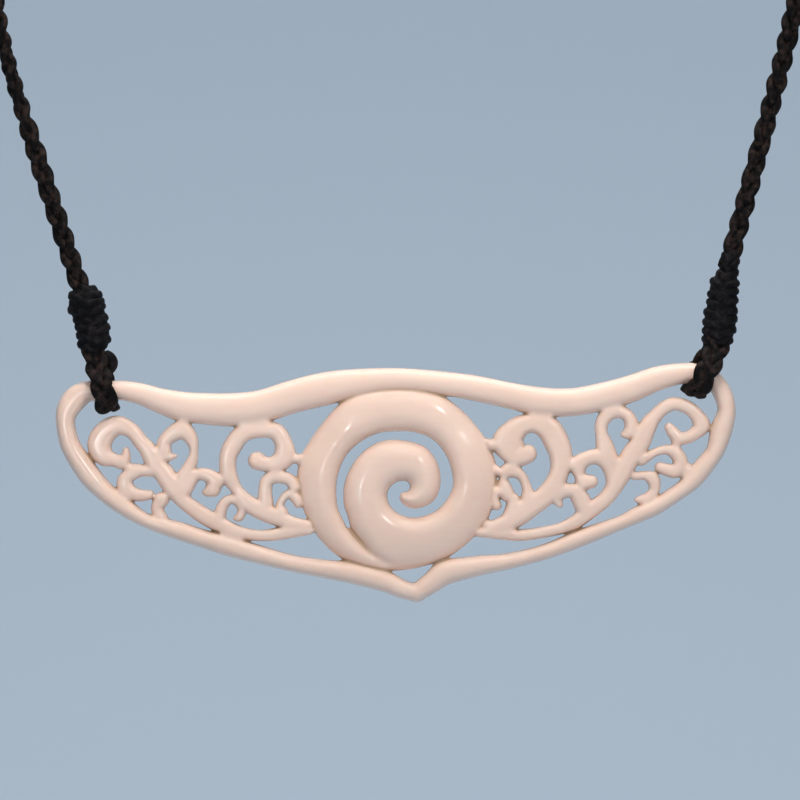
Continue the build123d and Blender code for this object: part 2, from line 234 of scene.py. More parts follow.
SCROLLS = {
    "left_koru": [
        (-12.6, -19.8, 1.7), (-16.9, -21.1, 2.6), (-20.0, -21.8, 2.3), (-23.2, -20.1, 2.6),
        (-27.4, -14.8, 3.5), (-31.2, -7.2, 3.2), (-32.9, -0.8, 4.1), (-34.0, 4.0, 4.3),
        (-35.2, 7.7, 4.0), (-36.3, 13.5, 3.6), (-37.4, 17.2, 3.2), (-38.8, 21.9, 3.3),
        (-40.8, 24.0, 4.1), (-42.6, 21.2, 4.8), (-43.5, 16.0, 5.0), (-42.8, 11.2, 4.0),
        (-41.4, 9.7, 2.8), (-40.2, 8.8, 3.0), (-39.6, 11.2, 2.0), (-39.6, 13.8, 1.3),
    ],
    "left_lower_hook": [
        (-36.0, 5.0, 2.3), (-37.7, 5.0, 2.6), (-39.5, 2.3, 3.0), (-39.7, -1.2, 3.5),
        (-38.8, -4.0, 3.0), (-37.4, -5.1, 2.5), (-36.2, -4.9, 1.9), (-35.9, -4.0, 0.9),
    ],
    "left_drop": [
        (-34.4, -15.0, 2.9), (-35.0, -10.4, 2.5), (-34.4, -7.0, 3.2),
    ],
    "left_upper_hook": [
        (-31.2, 2.5, 2.9), (-30.0, 8.3, 2.5), (-29.6, 13.3, 1.8), (-30.0, 18.5, 2.8),
        (-31.5, 22.1, 3.8), (-33.8, 17.8, 2.9), (-33.9, 13.8, 2.8), (-33.4, 11.0, 1.9),
        (-32.3, 11.2, 0.8),
    ],
    "left_bud": [
        (-31.0, -2.5, 3.5), (-29.3, 3.3, 2.5), (-27.6, 3.2, 2.8), (-26.3, 0.8, 3.5),
    ],
    "left_bud_tip": [
        (-26.8, -2.5, 3.3), (-27.7, -3.9, 1.7), (-28.2, -3.7, 0.7),
    ],
    "left_small_hook": [
        (-25.8, -14.2, 2.5), (-25.5, -10.4, 2.4), (-24.6, -7.1, 2.0), (-23.5, -7.2, 1.8),
        (-22.6, -10.6, 1.7), (-22.8, -13.8, 1.9), (-23.4, -14.6, 1.2),
    ],
    "left_inner_koru": [
        (-12.8, -17.4, 1.8), (-15.4, -16.2, 2.7), (-18.4, -13.1, 3.7), (-21.3, -9.0, 3.5),
        (-23.2, -3.1, 2.5), (-24.4, 3.3, 3.4), (-24.6, 10.0, 3.6), (-23.9, 15.4, 3.9),
        (-22.4, 20.5, 3.7), (-20.0, 21.7, 2.9), (-17.6, 21.5, 3.6), (-16.4, 16.5, 3.7),
        (-16.3, 11.0, 4.5), (-17.6, 8.1, 3.5), (-19.2, 8.0, 3.1), (-20.3, 9.3, 3.8),
    ],
    "left_arch": [
        (-19.0, -8.3, 3.1), (-19.1, -3.8, 2.9), (-18.8, 1.0, 2.7), (-17.4, 2.6, 2.7),
        (-15.6, 1.5, 2.5), (-14.8, -1.9, 2.2),
    ],
    "left_curl": [
        (-16.6, -12.5, 2.5), (-16.9, -9.2, 1.7), (-16.2, -5.5, 1.7), (-15.3, -4.6, 2.0),
        (-14.5, -6.8, 2.2), (-14.3, -8.9, 1.5),
    ],
    "right_koru": [
        (12.5, -20.4, 2.1), (15.4, -21.2, 2.2), (18.4, -21.7, 2.4), (21.3, -20.7, 2.3),
        (24.3, -18.9, 2.4), (26.5, -16.2, 2.9), (28.7, -11.5, 3.3), (31.1, -6.1, 3.2),
        (33.0, 1.8, 3.7), (34.6, 10.8, 4.2), (36.2, 17.4, 4.0), (37.4, 24.6, 3.5),
        (38.5, 28.5, 2.8), (39.8, 31.7, 2.8), (41.2, 33.0, 2.8), (43.1, 31.5, 2.8),
        (44.4, 28.3, 2.9), (45.1, 24.2, 3.5), (44.3, 21.1, 2.8), (43.0, 19.0, 2.6),
        (41.8, 18.8, 2.7), (40.9, 21.1, 2.5), (40.3, 23.3, 1.8),
    ],
    "right_lower_hook": [
        (36.3, 9.4, 2.2), (38.2, 12.7, 1.7), (39.9, 13.9, 2.0), (41.4, 12.2, 2.8),
        (42.0, 8.3, 3.0), (41.2, 5.1, 2.9), (40.0, 5.5, 2.6), (39.0, 6.5, 2.2),
    ],
    "right_small_hook": [
        (35.3, 2.9, 1.7), (36.8, 3.1, 1.8), (37.9, 1.8, 2.8), (38.2, -2.3, 2.2),
        (37.5, -5.5, 2.2), (36.2, -6.9, 1.8), (35.6, -6.9, 1.1),
    ],
    "right_upper_hook": [
        (31.4, 9.9, 4.0), (30.9, 15.0, 3.7), (30.4, 20.4, 2.6), (30.4, 24.6, 2.7),
        (31.3, 28.5, 2.9), (32.8, 29.8, 2.7), (34.2, 28.1, 2.6), (34.8, 24.4, 2.8),
        (34.4, 21.0, 2.5), (33.6, 20.2, 1.2),
    ],
    "right_bud": [
        (31.3, -5.8, 1.9), (31.8, -1.2, 2.1), (31.8, 2.9, 2.5), (31.1, 7.9, 2.7),
        (29.7, 10.9, 3.1), (28.1, 10.1, 3.1), (27.0, 7.5, 3.5), (27.2, 2.7, 2.2),
        (27.8, 0.6, 3.3), (28.9, 0.6, 2.7),
    ],
    "right_curl": [
        (27.8, -10.2, 3.6), (27.3, -6.7, 3.8), (26.5, -3.5, 3.0), (24.9, -3.3, 2.9),
        (23.8, -6.0, 2.3), (24.2, -8.7, 1.5), (24.5, -9.2, 0.8),
    ],
    "right_inner_koru": [
        (13.7, -17.9, 2.3), (15.0, -17.9, 2.9), (17.6, -14.8, 3.9), (20.3, -9.4, 4.1),
        (22.7, -3.5, 4.2), (24.1, 3.8, 4.0), (24.4, 11.2, 4.7), (23.7, 17.5, 5.2),
        (22.5, 22.8, 5.0), (20.6, 24.6, 3.8), (18.6, 24.0, 4.2), (17.1, 20.2, 5.4),
        (16.2, 16.5, 5.2), (17.2, 11.2, 3.5), (18.3, 10.8, 3.8), (19.5, 12.1, 3.9),
    ],
    "right_arch": [
        (19.6, -7.1, 3.2), (19.4, -2.1, 2.0), (18.5, 3.3, 2.1), (16.7, 5.4, 3.1),
        (16.0, 2.0, 1.6), (16.1, -1.7, 2.9), (16.5, -4.6, 3.1),
    ],
    "right_foot": [
        (17.4, -6.7, 2.5), (17.2, -10.4, 2.7), (16.4, -15.2, 2.5), (15.0, -17.1, 2.1),
    ],
    "right_knop": [
        (14.3, -4.4, 2.6), (14.5, -7.5, 2.5), (15.0, -9.4, 1.9),
    ],
}

# Small webs of bone where scrolls touch the disc, a rail or each other
WEBS = [
    [(-15.7, 10.7, 1.9), (-13.2, 9.6, 1.9)],
    [(13.4, 16.1, 2.2), (15.9, 15.9, 2.2)],
    [(17.5, 17.2, 2.5), (18.4, 16.4, 1.6)],
    [(-39.4, 6.7, 1.6), (-37.6, 6.5, 1.5)],
    [(41.2, 17.4, 1.5), (41.5, 15.2, 1.6)],
    [(43.2, 6.8, 1.6), (42.4, 3.6, 1.8)],
    [(14.4, 6.3, 1.6), (15.6, 4.2, 1.6)],
    [(14.4, -2.6, 1.6), (15.6, -3.6, 1.8)],
]

# Rim of the big disc, as places across and up like those of the strokes
DISC_RIM = [
    (-14.3, 2.1), (-14.2, 7.1), (-13.7, 11.7), (-12.6, 17.0), (-11.2, 22.9), (-9.1, 30.3),
    (-7.6, 34.3), (-6.0, 37.2), (-4.0, 38.8), (-1.6, 39.7), (0.9, 40.0), (3.7, 39.2), (6.6, 36.8),
    (8.8, 32.8), (10.9, 27.1), (12.4, 21.9), (13.5, 17.3), (14.3, 12.3), (14.8, 7.5), (14.9, 0.8),
    (14.7, -5.0), (14.1, -11.7), (13.1, -17.5), (11.5, -22.7), (9.7, -27.1), (7.8, -30.8),
    (5.7, -33.3), (2.2, -35.7), (-1.5, -36.5), (-3.8, -35.6), (-6.0, -33.8), (-8.0, -31.0),
    (-9.9, -26.6), (-11.6, -21.1), (-12.9, -14.4), (-13.9, -6.9),
]

# The spiral slot cut through the disc, and the groove that runs on from it and fades
SPIRAL_SLOT = [
    (-6.9, -17.8, 0.8), (-7.5, -13.3, 1.2), (-8.0, -9.2, 1.3), (-8.1, -1.7, 1.5),
    (-7.6, 4.5, 1.8), (-6.8, 9.2, 2.0), (-5.8, 12.8, 2.0), (-4.3, 16.3, 1.8), (-2.2, 19.1, 1.7),
    (0.1, 19.8, 1.7), (2.6, 19.2, 2.0), (4.9, 16.7, 2.1), (6.5, 11.9, 2.2), (7.4, 5.8, 2.3),
    (7.6, -0.8, 2.5), (6.8, -6.5, 2.0), (5.4, -10.4, 1.8), (3.1, -12.5, 1.8), (1.2, -11.4, 2.0),
    (0.0, -8.1, 2.3), (-0.2, -4.6, 2.5), (0.5, -2.0, 2.4), (1.4, -1.4, 2.2),
]

# Rows of the groove: across, up, share of the disc's square height that is cut away, and how far
# its slope reaches to each side
SPIRAL_GROOVE = [
    (-6.9, -17.6, 1.0, 2.6), (-6.5, -19.5, 0.98, 2.5), (-5.9, -21.8, 0.94, 2.4),
    (-5.1, -24.4, 0.88, 2.2), (-4.1, -27.4, 0.78, 2.0), (-3.1, -29.9, 0.64, 1.8),
    (-1.4, -32.9, 0.4, 1.5), (1.0, -35.0, 0.0, 1.2),
]

# Route of each side of the neck cord, x and z, from the top of its binding to the clasp
clasp_length = 12.6
LEFT_ROUTE = [
    (-41.7, -134.0), (-47.2, -117.4), (-52.6, -100.2), (-55.5, -79.0), (-55.0, -54.0),
    (-48.0, -29.0), (-34.5, -9.0), (-16.5, 0.0), (-clasp_length / 2, 0.0),
]
RIGHT_ROUTE = [
    (44.5, -129.6), (49.2, -112.4), (53.6, -94.8), (57.2, -73.5), (57.2, -50.0),
    (50.5, -27.0), (37.0, -9.0), (18.0, 0.0), (clasp_length / 2, 0.0),
]

# Rows of a binding from its foot up: x, z and half its width
LEFT_BINDING = [
    (-39.8, -142.9, 1.6), (-39.9, -142.3, 2.0), (-39.9, -141.4, 2.3), (-39.9, -140.2, 2.4),
    (-40.1, -139.1, 2.4), (-40.3, -138.1, 2.35), (-40.7, -137.1, 2.5), (-40.9, -136.3, 2.6),
    (-40.85, -135.2, 2.35), (-40.7, -134.6, 2.0), (-40.65, -134.1, 1.5), (-40.7, -133.7, 1.1),
]
RIGHT_BINDING = [
    (41.8, -143.8, 1.5), (42.2, -142.9, 1.65), (42.35, -142.0, 1.95), (42.6, -141.1, 2.1),
    (42.85, -140.0, 2.3), (43.0, -138.7, 2.4), (43.1, -137.4, 2.3), (43.3, -136.3, 2.2),
    (43.4, -135.1, 2.15), (43.5, -134.1, 2.1), (43.8, -133.2, 1.95), (44.2, -131.95, 1.4),
    (44.3, -130.9, 1.5), (44.35, -130.1, 1.25), (44.4, -129.4, 1.0),
]

# Fat knot of thread at the foot of the left binding, its outer and inner turn: x, y and z
LEFT_KNOT = [
    (-38.6, -0.6, -142.9), (-37.75, -0.8, -143.3), (-37.4, -0.8, -144.1), (-37.7, -0.8, -144.9),
    (-38.6, -0.6, -145.3),
]
LEFT_KNOT_MIDDLE = [(-38.4, -0.2, -143.3), (-38.0, -0.3, -144.1), (-38.4, -0.2, -144.9)]

# Half the knot's thickness, how it is twisted, how many samples its ends taper over, and their tips
knot_half = 0.75
knot_lay = 2.4
knot_taper = 4
knot_tip = 0.15

# Places on the rail that the loops hang from, across and up on the plate
LEFT_SEAT = (-42.9, 38.4)
RIGHT_SEAT = (44.8, 44.8)

# The picture: a level lens straight on to the plate, and the millimetres that a pixel shows
pixel = 0.13235
picture_pixels = 800
picture_middle = (0.66, 0.0, -149.0)
lens_length = 180
sensor_width = 36

FRONT = np.array([0.0, -1.0, 0.0])


def make_object(name, points, faces, material):
    """Smooth mesh object from points in millimetres in the frame of the part."""
    mesh = bpy.data.meshes.new(name)
    mesh.from_pydata((np.asarray(points) * MM).tolist(), [], faces)
    mesh.update()
    mesh.polygons.foreach_set("use_smooth", np.ones(len(mesh.polygons), bool))
    mesh.materials.append(material)
    made = bpy.data.objects.new(name, mesh)
    bpy.context.scene.collection.objects.link(made)
    return made


def spot(across, up):
    """Place on the plate's face from its middle, in millimetres."""
    return across / 100 * plate_width, up / 100 * plate_height


def smooth_rows(rows, step, axes=2, closed=False):
    """Close samples of a smooth line through rows of numbers, the first few of them a place."""
    rows = np.array(rows, float)
    if closed:
        ends = np.vstack([rows[-1], rows, rows[0], rows[1]])
    else:
        ends = np.vstack([2 * rows[0] - rows[1], rows, 2 * rows[-1] - rows[-2]])
    samples = []
    for a, b, c, d in zip(ends, ends[1:], ends[2:], ends[3:]):
        count = max(2, math.ceil(np.linalg.norm(c[:axes] - b[:axes]) / step))
        t = np.arange(count)[:, None] / count
        bend = 2 * a - 5 * b + 4 * c - d
        twist = 3 * b - a - 3 * c + d
        samples.append((2 * b + (c - a) * t + bend * t ** 2 + twist * t ** 3) / 2)
    if not closed:
        samples.append(rows[-1:])
    return np.vstack(samples)


def place_rows(rows):
    """Rows of a stroke in millimetres from the plate's middle."""
    return [(*spot(across, up), half / 100 * plate_height) for across, up, half in rows]


class Carving:
    """Square of the plate's front height on a fine grid: above nought is bone, below is air."""

    def __init__(self):
        reach_x = plate_width / 2 + plate_margin
        reach_z = plate_height / 2 + plate_margin
        self.xs = np.arange(-reach_x, reach_x, fine_step)
        self.zs = np.arange(-reach_z, reach_z, fine_step)
        self.square = np.full((len(self.xs), len(self.zs)), outside)

    def window(self, samples, reach):
        """Slices of the grid within reach of some samples, and their places."""
        low = samples[:, :2].min(0) - reach
        high = samples[:, :2].max(0) + reach
        across = slice(*np.searchsorted(self.xs, (low[0], high[0])))
        up = slice(*np.searchsorted(self.zs, (low[1], high[1])))
        return across, up, self.xs[across, None, None], self.zs[None, up, None]

    def strand(self, rows, front, flatness):
        """Square height of one strand, half round or flatter on top."""
        samples = smooth_rows(place_rows(rows), fine_step)
        field = np.full(self.square.shape, outside)
        for start in range(0, len(samples), strand_part):
            part = samples[start:start + strand_part + 1]
            across, up, x, z = self.window(part, strand_window * part[:, 2].max() + fine_step)
            share = ((x - part[:, 0]) ** 2 + (z - part[:, 1]) ** 2) / part[:, 2] ** 2
            nearest = share.argmin(axis=2)
            half = part[nearest, 2]
            full = np.minimum(1, half / full_half_width)
            height = front * (thin_share + (1 - thin_share) * full)
            least = share.min(axis=2)
            power = np.where(least < 1, flatness, power_outside)
            value = height ** 2 * (1 - least ** (power / 2))
            field[across, up] = np.maximum(field[across, up], value)
        return field

    def disc(self):
        """Square height of the domed disc, the depth inside its rim, and how flush it is."""
        rim = smooth_rows([spot(*place) for place in DISC_RIM], fine_step, closed=True)
        middle = rim.mean(0)
        turn = np.arctan2(rim[:, 1] - middle[1], rim[:, 0] - middle[0])
        order = np.argsort(turn)
        far = np.hypot(rim[:, 0] - middle[0], rim[:, 1] - middle[1])
        x = self.xs[:, None] - middle[0]
        z = self.zs[None, :] - middle[1]
        reach = np.interp(np.arctan2(z, x), turn[order], far[order], period=2 * math.pi)
        radius = np.hypot(x, z)
        lean = np.abs(np.degrees(np.arctan2(x, z)) + flush_lean)
        near_rail = np.clip((flush_to - lean) / flush_over, 0, 1)
        flush = near_rail ** 2 * (3 - 2 * near_rail)
        power = rim_power + (rim_power_flush - rim_power) * flush
        square = disc_front ** 2 * (1 - np.minimum(radius / reach, past_rim) ** power)
        slot = smooth_rows(place_rows(SPIRAL_SLOT), fine_step)
        away = self.distance(slot, slot[:, 2])
        shoulder = 1 - (1 - np.clip(away / slot_shoulder, 0, 1)) ** shoulder_power
        shoulder = np.where(away < 0, away / slot_shoulder * shoulder_power, shoulder)
        groove = [(*spot(across, up), *rest) for across, up, *rest in SPIRAL_GROOVE]
        for gx, gz, cut, wide in smooth_rows(groove, fine_step):
            across, up, wx, wz = self.window(np.array([[gx, gz]]), wide + groove_floor)
            away = np.hypot(wx[:, :, 0] - gx, wz[:, :, 0] - gz)
            near = np.maximum(away - groove_floor, 0) / wide
            sunk = 1 - cut * np.maximum(0, 1 - near) ** shoulder_power
            shoulder[across, up] = np.minimum(shoulder[across, up], sunk)
        square = np.where(square > 0, square * shoulder, square)
        return np.maximum(square, outside), reach - radius, flush

    def distance(self, samples, halves):
        """Distance of each grid point from the edge of a stroke."""
        x = self.xs[:, None]
        z = self.zs[None, :]
        nearest = np.full(self.square.shape, np.inf)
        for (px, pz), half in zip(samples[:, :2], halves):
            nearest = np.minimum(nearest, np.hypot(x - px, z - pz) - half)
        return nearest

    def merge(self):
        """Lifts what lies between strands that run together, and leaves the openings' edges."""
        air = self.square <= 0
        inside = np.full(self.square.shape, merge_reach)
        reach = round(merge_reach / fine_step)
        steps = range(-reach, reach + 1)
        ways = sorted(((i * i + k * k, i, k) for i in steps for k in steps), reverse=True)
        for far, i, k in ways:
            if far <= reach * reach:
                inside[np.roll(air, (i, k), (0, 1))] = math.sqrt(far) * fine_step
        share = soften(inside, merge_rounds) / merge_reach
        level = merge_level * share ** 2 * (3 - 2 * share)
        top = np.maximum(self.square, level)
        fill = merge_fill * np.clip(top / edge_square, merge_least, 1)
        self.square = np.where(air, self.square, filleted(self.square, level, fill))

    def join(self, field, groove=groove_fill):
        """Adds a field, with a fillet where its edge meets what is there and a crease higher up."""
        top = np.maximum(self.square, field)
        ease = np.clip(1 - top / edge_square, 0, 1)
        fill = groove + (corner_fill - groove) * ease ** ease_power
        self.square = filleted(self.square, field, fill)


def filleted(one, two, fill):
    """The higher of two fields, with a fillet where they meet."""
    meet = np.maximum(fill - np.abs(one - two), 0)
    return np.maximum(one, two) + meet ** 2 / (4 * fill)


def soften(field, rounds):
    """Field with its small creases smoothed."""
    for _ in range(rounds):
        for axis in (0, 1):
            field = (np.roll(field, 1, axis) + 2 * field + np.roll(field, -1, axis)) / 4
    return field


def carve():
    """The plate's carving: strands joined to each other, and the disc over them."""
    carving = Carving()
    disc, inside, flush = carving.disc()
    for rows in (TOP_RAIL, RIGHT_RAIL, LEFT_RAIL):
        carving.join(carving.strand(rows, rail_front, rail_power))
    for rows in SCROLLS.values():
        carving.join(carving.strand(rows, scroll_front, scroll_power))
    for rows in WEBS:
        carving.join(carving.strand(rows, web_front, scroll_power))
    carving.merge()
    tuck = under_disc * (1 + (flush_tuck - 1) * flush)
    carving.square = carving.square - tuck * np.clip(inside, 0, tuck_reach)
    carving.square = np.maximum(carving.square, outside)
    carving.join(disc, disc_fill + (flush_fill - disc_fill) * flush)
    carving.square = soften(carving.square, carving_rounds)
    return carving


def cubic_look_up(carving, table, x, z):
    """Smooth value of a table of the carving's grid at places between its points."""
    across = (x - carving.xs[0]) / fine_step
    up = (z - carving.zs[0]) / fine_step
    i = np.clip(across.astype(int), 1, table.shape[0] - 3)
    k = np.clip(up.astype(int), 1, table.shape[1] - 3)
    total = 0
    for di, wi in zip((-1, 0, 1, 2), cubic_weights(across - i)):
        for dk, wk in zip((-1, 0, 1, 2), cubic_weights(up - k)):
            total = total + wi * wk * table[i + di, k + dk]
    return total


def cubic_weights(t):
    """Weights of four neighbours in a row, for a smooth curve through the middle two."""
    return (
        (-t + 2 * t ** 2 - t ** 3) / 2, (2 - 5 * t ** 2 + 3 * t ** 3) / 2,
        (t + 4 * t ** 2 - 3 * t ** 3) / 2, (t ** 3 - t ** 2) / 2,
    )


def bone_field(carving, points):
    """Above nought inside the bone: half round in front, flat with eased edges behind."""
    square = cubic_look_up(carving, carving.square, points[:, 0], points[:, 2])
    y = points[:, 1]
    front = square - y ** 2
    back = np.minimum(square, back_square) - back_square * (np.abs(y) / back_depth) ** back_power
    return np.where(y < 0, front, back)


def surface_net(values, corner, steps):
    """Points and four-sided faces of the surface where values on a grid pass through nought."""
    cells = np.array(values.shape) - 1
    total = np.zeros((*cells, 3))
    crossings = np.zeros(cells)
    edges = []
    for axis in range(3):
        low = np.take(values, range(0, values.shape[axis] - 1), axis)
        high = np.take(values, range(1, values.shape[axis]), axis)
        crossed = (low > 0) != (high > 0)
        part_way = np.where(crossed, low / np.where(crossed, low - high, 1), 0)
        one, two = [other for other in range(3) if other != axis]
        for shift_one in (0, 1):
            for shift_two in (0, 1):
                pick = [slice(None)] * 3
                pick[one] = slice(shift_one, shift_one + cells[one])
                pick[two] = slice(shift_two, shift_two + cells[two])
                here = crossed[tuple(pick)]
                total[..., axis] += part_way[tuple(pick)]
                total[..., one] += shift_one * here
                total[..., two] += shift_two * here
                crossings += here
        edges.append((crossed, low > 0, one, two))
    used = crossings > 0
    number = np.full(cells, -1)
    number[used] = np.arange(used.sum())
    index = np.argwhere(used)
    points = corner + (index + total[used] / crossings[used][:, None]) * steps
    faces = []
    for axis, (crossed, filled, one, two) in enumerate(edges):
        inner = [slice(None)] * 3
        inner[one] = slice(1, -1)
        inner[two] = slice(1, -1)
        place = np.argwhere(crossed[tuple(inner)])
        place[:, one] += 1
        place[:, two] += 1
        around = []
        for back_one, back_two in ((1, 1), (0, 1), (0, 0), (1, 0)):
            cell = place.copy()
            cell[:, one] -= back_one
            cell[:, two] -= back_two
            around.append(number[tuple(cell.T)])
        quads = np.stack(around, axis=1)
        turned = filled[tuple(place.T)] != (axis == 1)
        quads[~turned] = quads[~turned][:, ::-1]
        faces.append(quads)
    return points, np.vstack(faces)


def carved_plate(material):
    """The pierced plate as one smooth closed mesh, with how deep each point lies in a groove, for
    the painted shade in its grooves.
    """
    carving = carve()
    steps = np.array([mesh_step, mesh_step_deep, mesh_step])
    depth = disc_front + 2 * mesh_step_deep
    corner = np.array([carving.xs[2], -depth, carving.zs[2]])
    xs = np.arange(corner[0], carving.xs[-4], mesh_step)
    ys = np.arange(-depth, back_depth + 2 * mesh_step_deep, mesh_step_deep)
    zs = np.arange(corner[2], carving.zs[-4], mesh_step)
    grid = np.stack(np.meshgrid(xs, ys, zs, indexing="ij"), axis=-1)
    values = bone_field(carving, grid.reshape(-1, 3)).reshape(grid.shape[:3])
    points, faces = surface_net(values, corner, steps)
    for _ in range(fit_rounds):
        here = bone_field(carving, points)
        slope = np.stack([
            bone_field(carving, points + probe) - bone_field(carving, points - probe)
            for probe in fit_probe * np.eye(3)
        ], axis=1) / (2 * fit_probe)
        move = -here[:, None] * slope / np.maximum((slope ** 2).sum(axis=1), fit_slope)[:, None]
        points = points + np.clip(move, -mesh_step / 2, mesh_step / 2)
    # How deep each point lies below its smoothed surroundings, which the bone material paints as
    # tan shade
    height = np.sqrt(np.maximum(carving.square, 0))
    sunk = soften(height, groove_rounds) - height
    sunk = cubic_look_up(carving, sunk, points[:, 0], points[:, 2])
    sunk = np.where(points[:, 1] < 0, sunk, 0)
    placed = points + np.array([0, plate_plane, plate_middle_z])
    plate = make_object("bone_plate", placed, faces.tolist(), material)
    groove = plate.data.attributes.new("groove_depth", "FLOAT", "POINT")
    groove.data.foreach_set("value", sunk.astype(np.float32))
    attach(plate, "root")
    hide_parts("carved_plate")


def route_line(route, step):
    """Even points along the smooth curve of a cord's route."""
    curve = bpy.data.curves.new("route", "CURVE")
    curve.dimensions = "3D"
    curve.resolution_u = 24
    spline = curve.splines.new("NURBS")
    spline.points.add(len(route) - 1)
    for point, (x, z) in zip(spline.points, route):
        point.co = (x * MM, 0, z * MM, 1)
    spline.order_u = 3
    spline.use_endpoint_u = True
    holder = bpy.data.objects.new("route", curve)
    mesh = bpy.data.meshes.new_from_object(holder)
    points = np.zeros(len(mesh.vertices) * 3)
    mesh.vertices.foreach_get("co", points)
    points = points.reshape(-1, 3) / MM
    bpy.data.objects.remove(holder)
    bpy.data.curves.remove(curve)
    bpy.data.meshes.remove(mesh)
    return even_points(points, step)


def distances(points):
    """How far along a line each of its points lies."""
    return np.concatenate([[0], np.cumsum(np.linalg.norm(np.diff(points, axis=0), axis=1))])


def even_points(points, step):
    """Points at even distances along a line."""
    along = distances(points)
    places = np.linspace(0, along[-1], max(2, round(along[-1] / step)) + 1)
    return np.stack([np.interp(places, along, points[:, axis]) for axis in range(3)], axis=1)


def unit(vectors):
    """Vectors scaled to length one."""
    return vectors / np.linalg.norm(vectors, axis=-1, keepdims=True)


def thread(centres, ups, half_up, half_side, sides=thread_sides, yarns=0, lay=1.0):
    """Points and faces of a thread along centres, with ups across it, round or flattened."""
    ahead = unit(np.gradient(centres, axis=0))
    ups = unit(ups - (ups * ahead).sum(axis=1)[:, None] * ahead)
    across = np.cross(ahead, ups)
    count = len(centres)
    half_up = np.broadcast_to(half_up, count)[:, None, None]
    half_side = np.broadcast_to(half_side, count)[:, None, None]
    along = distances(centres)
    angle = np.arange(sides) / sides * 2 * math.pi
    swell = 1 + yarn_depth * np.cos(yarns * angle[None, :] + along[:, None] * 2 * math.pi / lay)
    swell = np.where(yarns > 0, swell, 1.0)[:, :, None]
    ring = (ups[:, None] * np.cos(angle)[None, :, None] * half_up
            + across[:, None] * np.sin(angle)[None, :, None] * half_side)
    points = (centres[:, None] + ring * swell).reshape(-1, 3)
    faces = []
    for here in range(0, (count - 1) * sides, sides):
        after = here + sides
        for side in range(sides):
            beside = (side + 1) % sides
            faces.append((here + side, here + beside, after + beside, after + side))
    faces.append(tuple(range(sides - 1, -1, -1)))
    faces.append(tuple(range((count - 1) * sides, count * sides)))
    return points, faces


def joined(parts):
    """Several sets of points and faces as one."""
    points = []
    faces = []
    start = 0
    for part_points, part_faces in parts:
        points.append(part_points)
        faces += [tuple(start + corner for corner in face) for face in part_faces]
        start += len(part_points)
    return np.vstack(points), faces


def plait(line, side, out, reach_side, reach_out, half_side, half_out, wander=0.0, edge_on=None):
    """Three strands woven over and under each other along a line, edge on at a place if asked."""
    along = distances(line)
    turned = wander * sum(np.sin(along / run + shift) for run, shift in WANDER_WAVES)
    if edge_on:
        turned = turned + math.pi / 2 / (1 + ((along - edge_on) / edge_on_reach) ** 4)
    across = side * np.cos(turned)[:, None] + out * np.sin(turned)[:, None]
    over = out * np.cos(turned)[:, None] - side * np.sin(turned)[:, None]
    slow, quick = (np.sin(along / run + shift) for run, shift in LOOSE_WAVES)
    loose = 1 + loose_share * slow * quick
    strands = []
    for number in range(3):
        angle = 2 * math.pi * (along / plait_turn + number / 3)
        centres = (line + across * (reach_side * loose * np.sin(angle))[:, None]
                   + over * (reach_out * np.sin(2 * angle))[:, None])
        strands.append(thread(
            centres, over, half_out, half_side, strand_sides, strand_yarns, strand_lay,
        ))
    return joined(strands)


def plaited_cord(name, node, route, material, edge_on=None):
    """One side of the neck cord: strands plaited along its route."""
    line = route_line(route, cord_step)
    back = unit(line[0] - line[1])
    shares = np.arange(1, 0, -1 / hidden_steps)
    hidden = [line[0] + back * hidden_end * share for share in shares]
    woven = np.vstack(hidden + [line])
    ahead = unit(np.gradient(woven, axis=0))
    front = np.tile(FRONT, (len(woven), 1))
    points, faces = plait(
        woven, np.cross(ahead, front), front, plait_side, plait_deep, strand_side, strand_deep,
        cord_wander, edge_on,
    )
    cord = make_object(name, points, faces, material)
    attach(cord, "root")
    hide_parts(node)


def seat_frame(seat, route):
    """Middle of the rail at a seat, and the sideways and upward ways of a cord that leaves it."""
    x, z = spot(*seat)
    middle = np.array([x, 0.0, z + plate_middle_z])
    top = np.array([route[0][0], 0.0, route[0][1]])
    up = unit(top - middle)
    return middle, np.array([up[2], 0.0, -up[0]]), up


def hanging_loop(name, node, way, seat, route, material):
    """Plait pressed flat that goes from the binding round the rail and back up."""
    middle, side, up = seat_frame(seat, route)
    placed = [
        middle + across * side + np.array([0, back, 0]) + rise * up for across, back, rise in way
    ]
    line = even_points(smooth_rows(placed, loop_sample, axes=3), loop_step)
    ahead = unit(np.gradient(line, axis=0))
    out = unit(np.cross(side, ahead))
    points, faces = plait(
        line, np.cross(ahead, out), out, loop_side, loop_deep, loop_strand_side, loop_strand_deep,
    )
    loop = make_object(name, points, faces, material)
    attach(loop, "root")
    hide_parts(node)


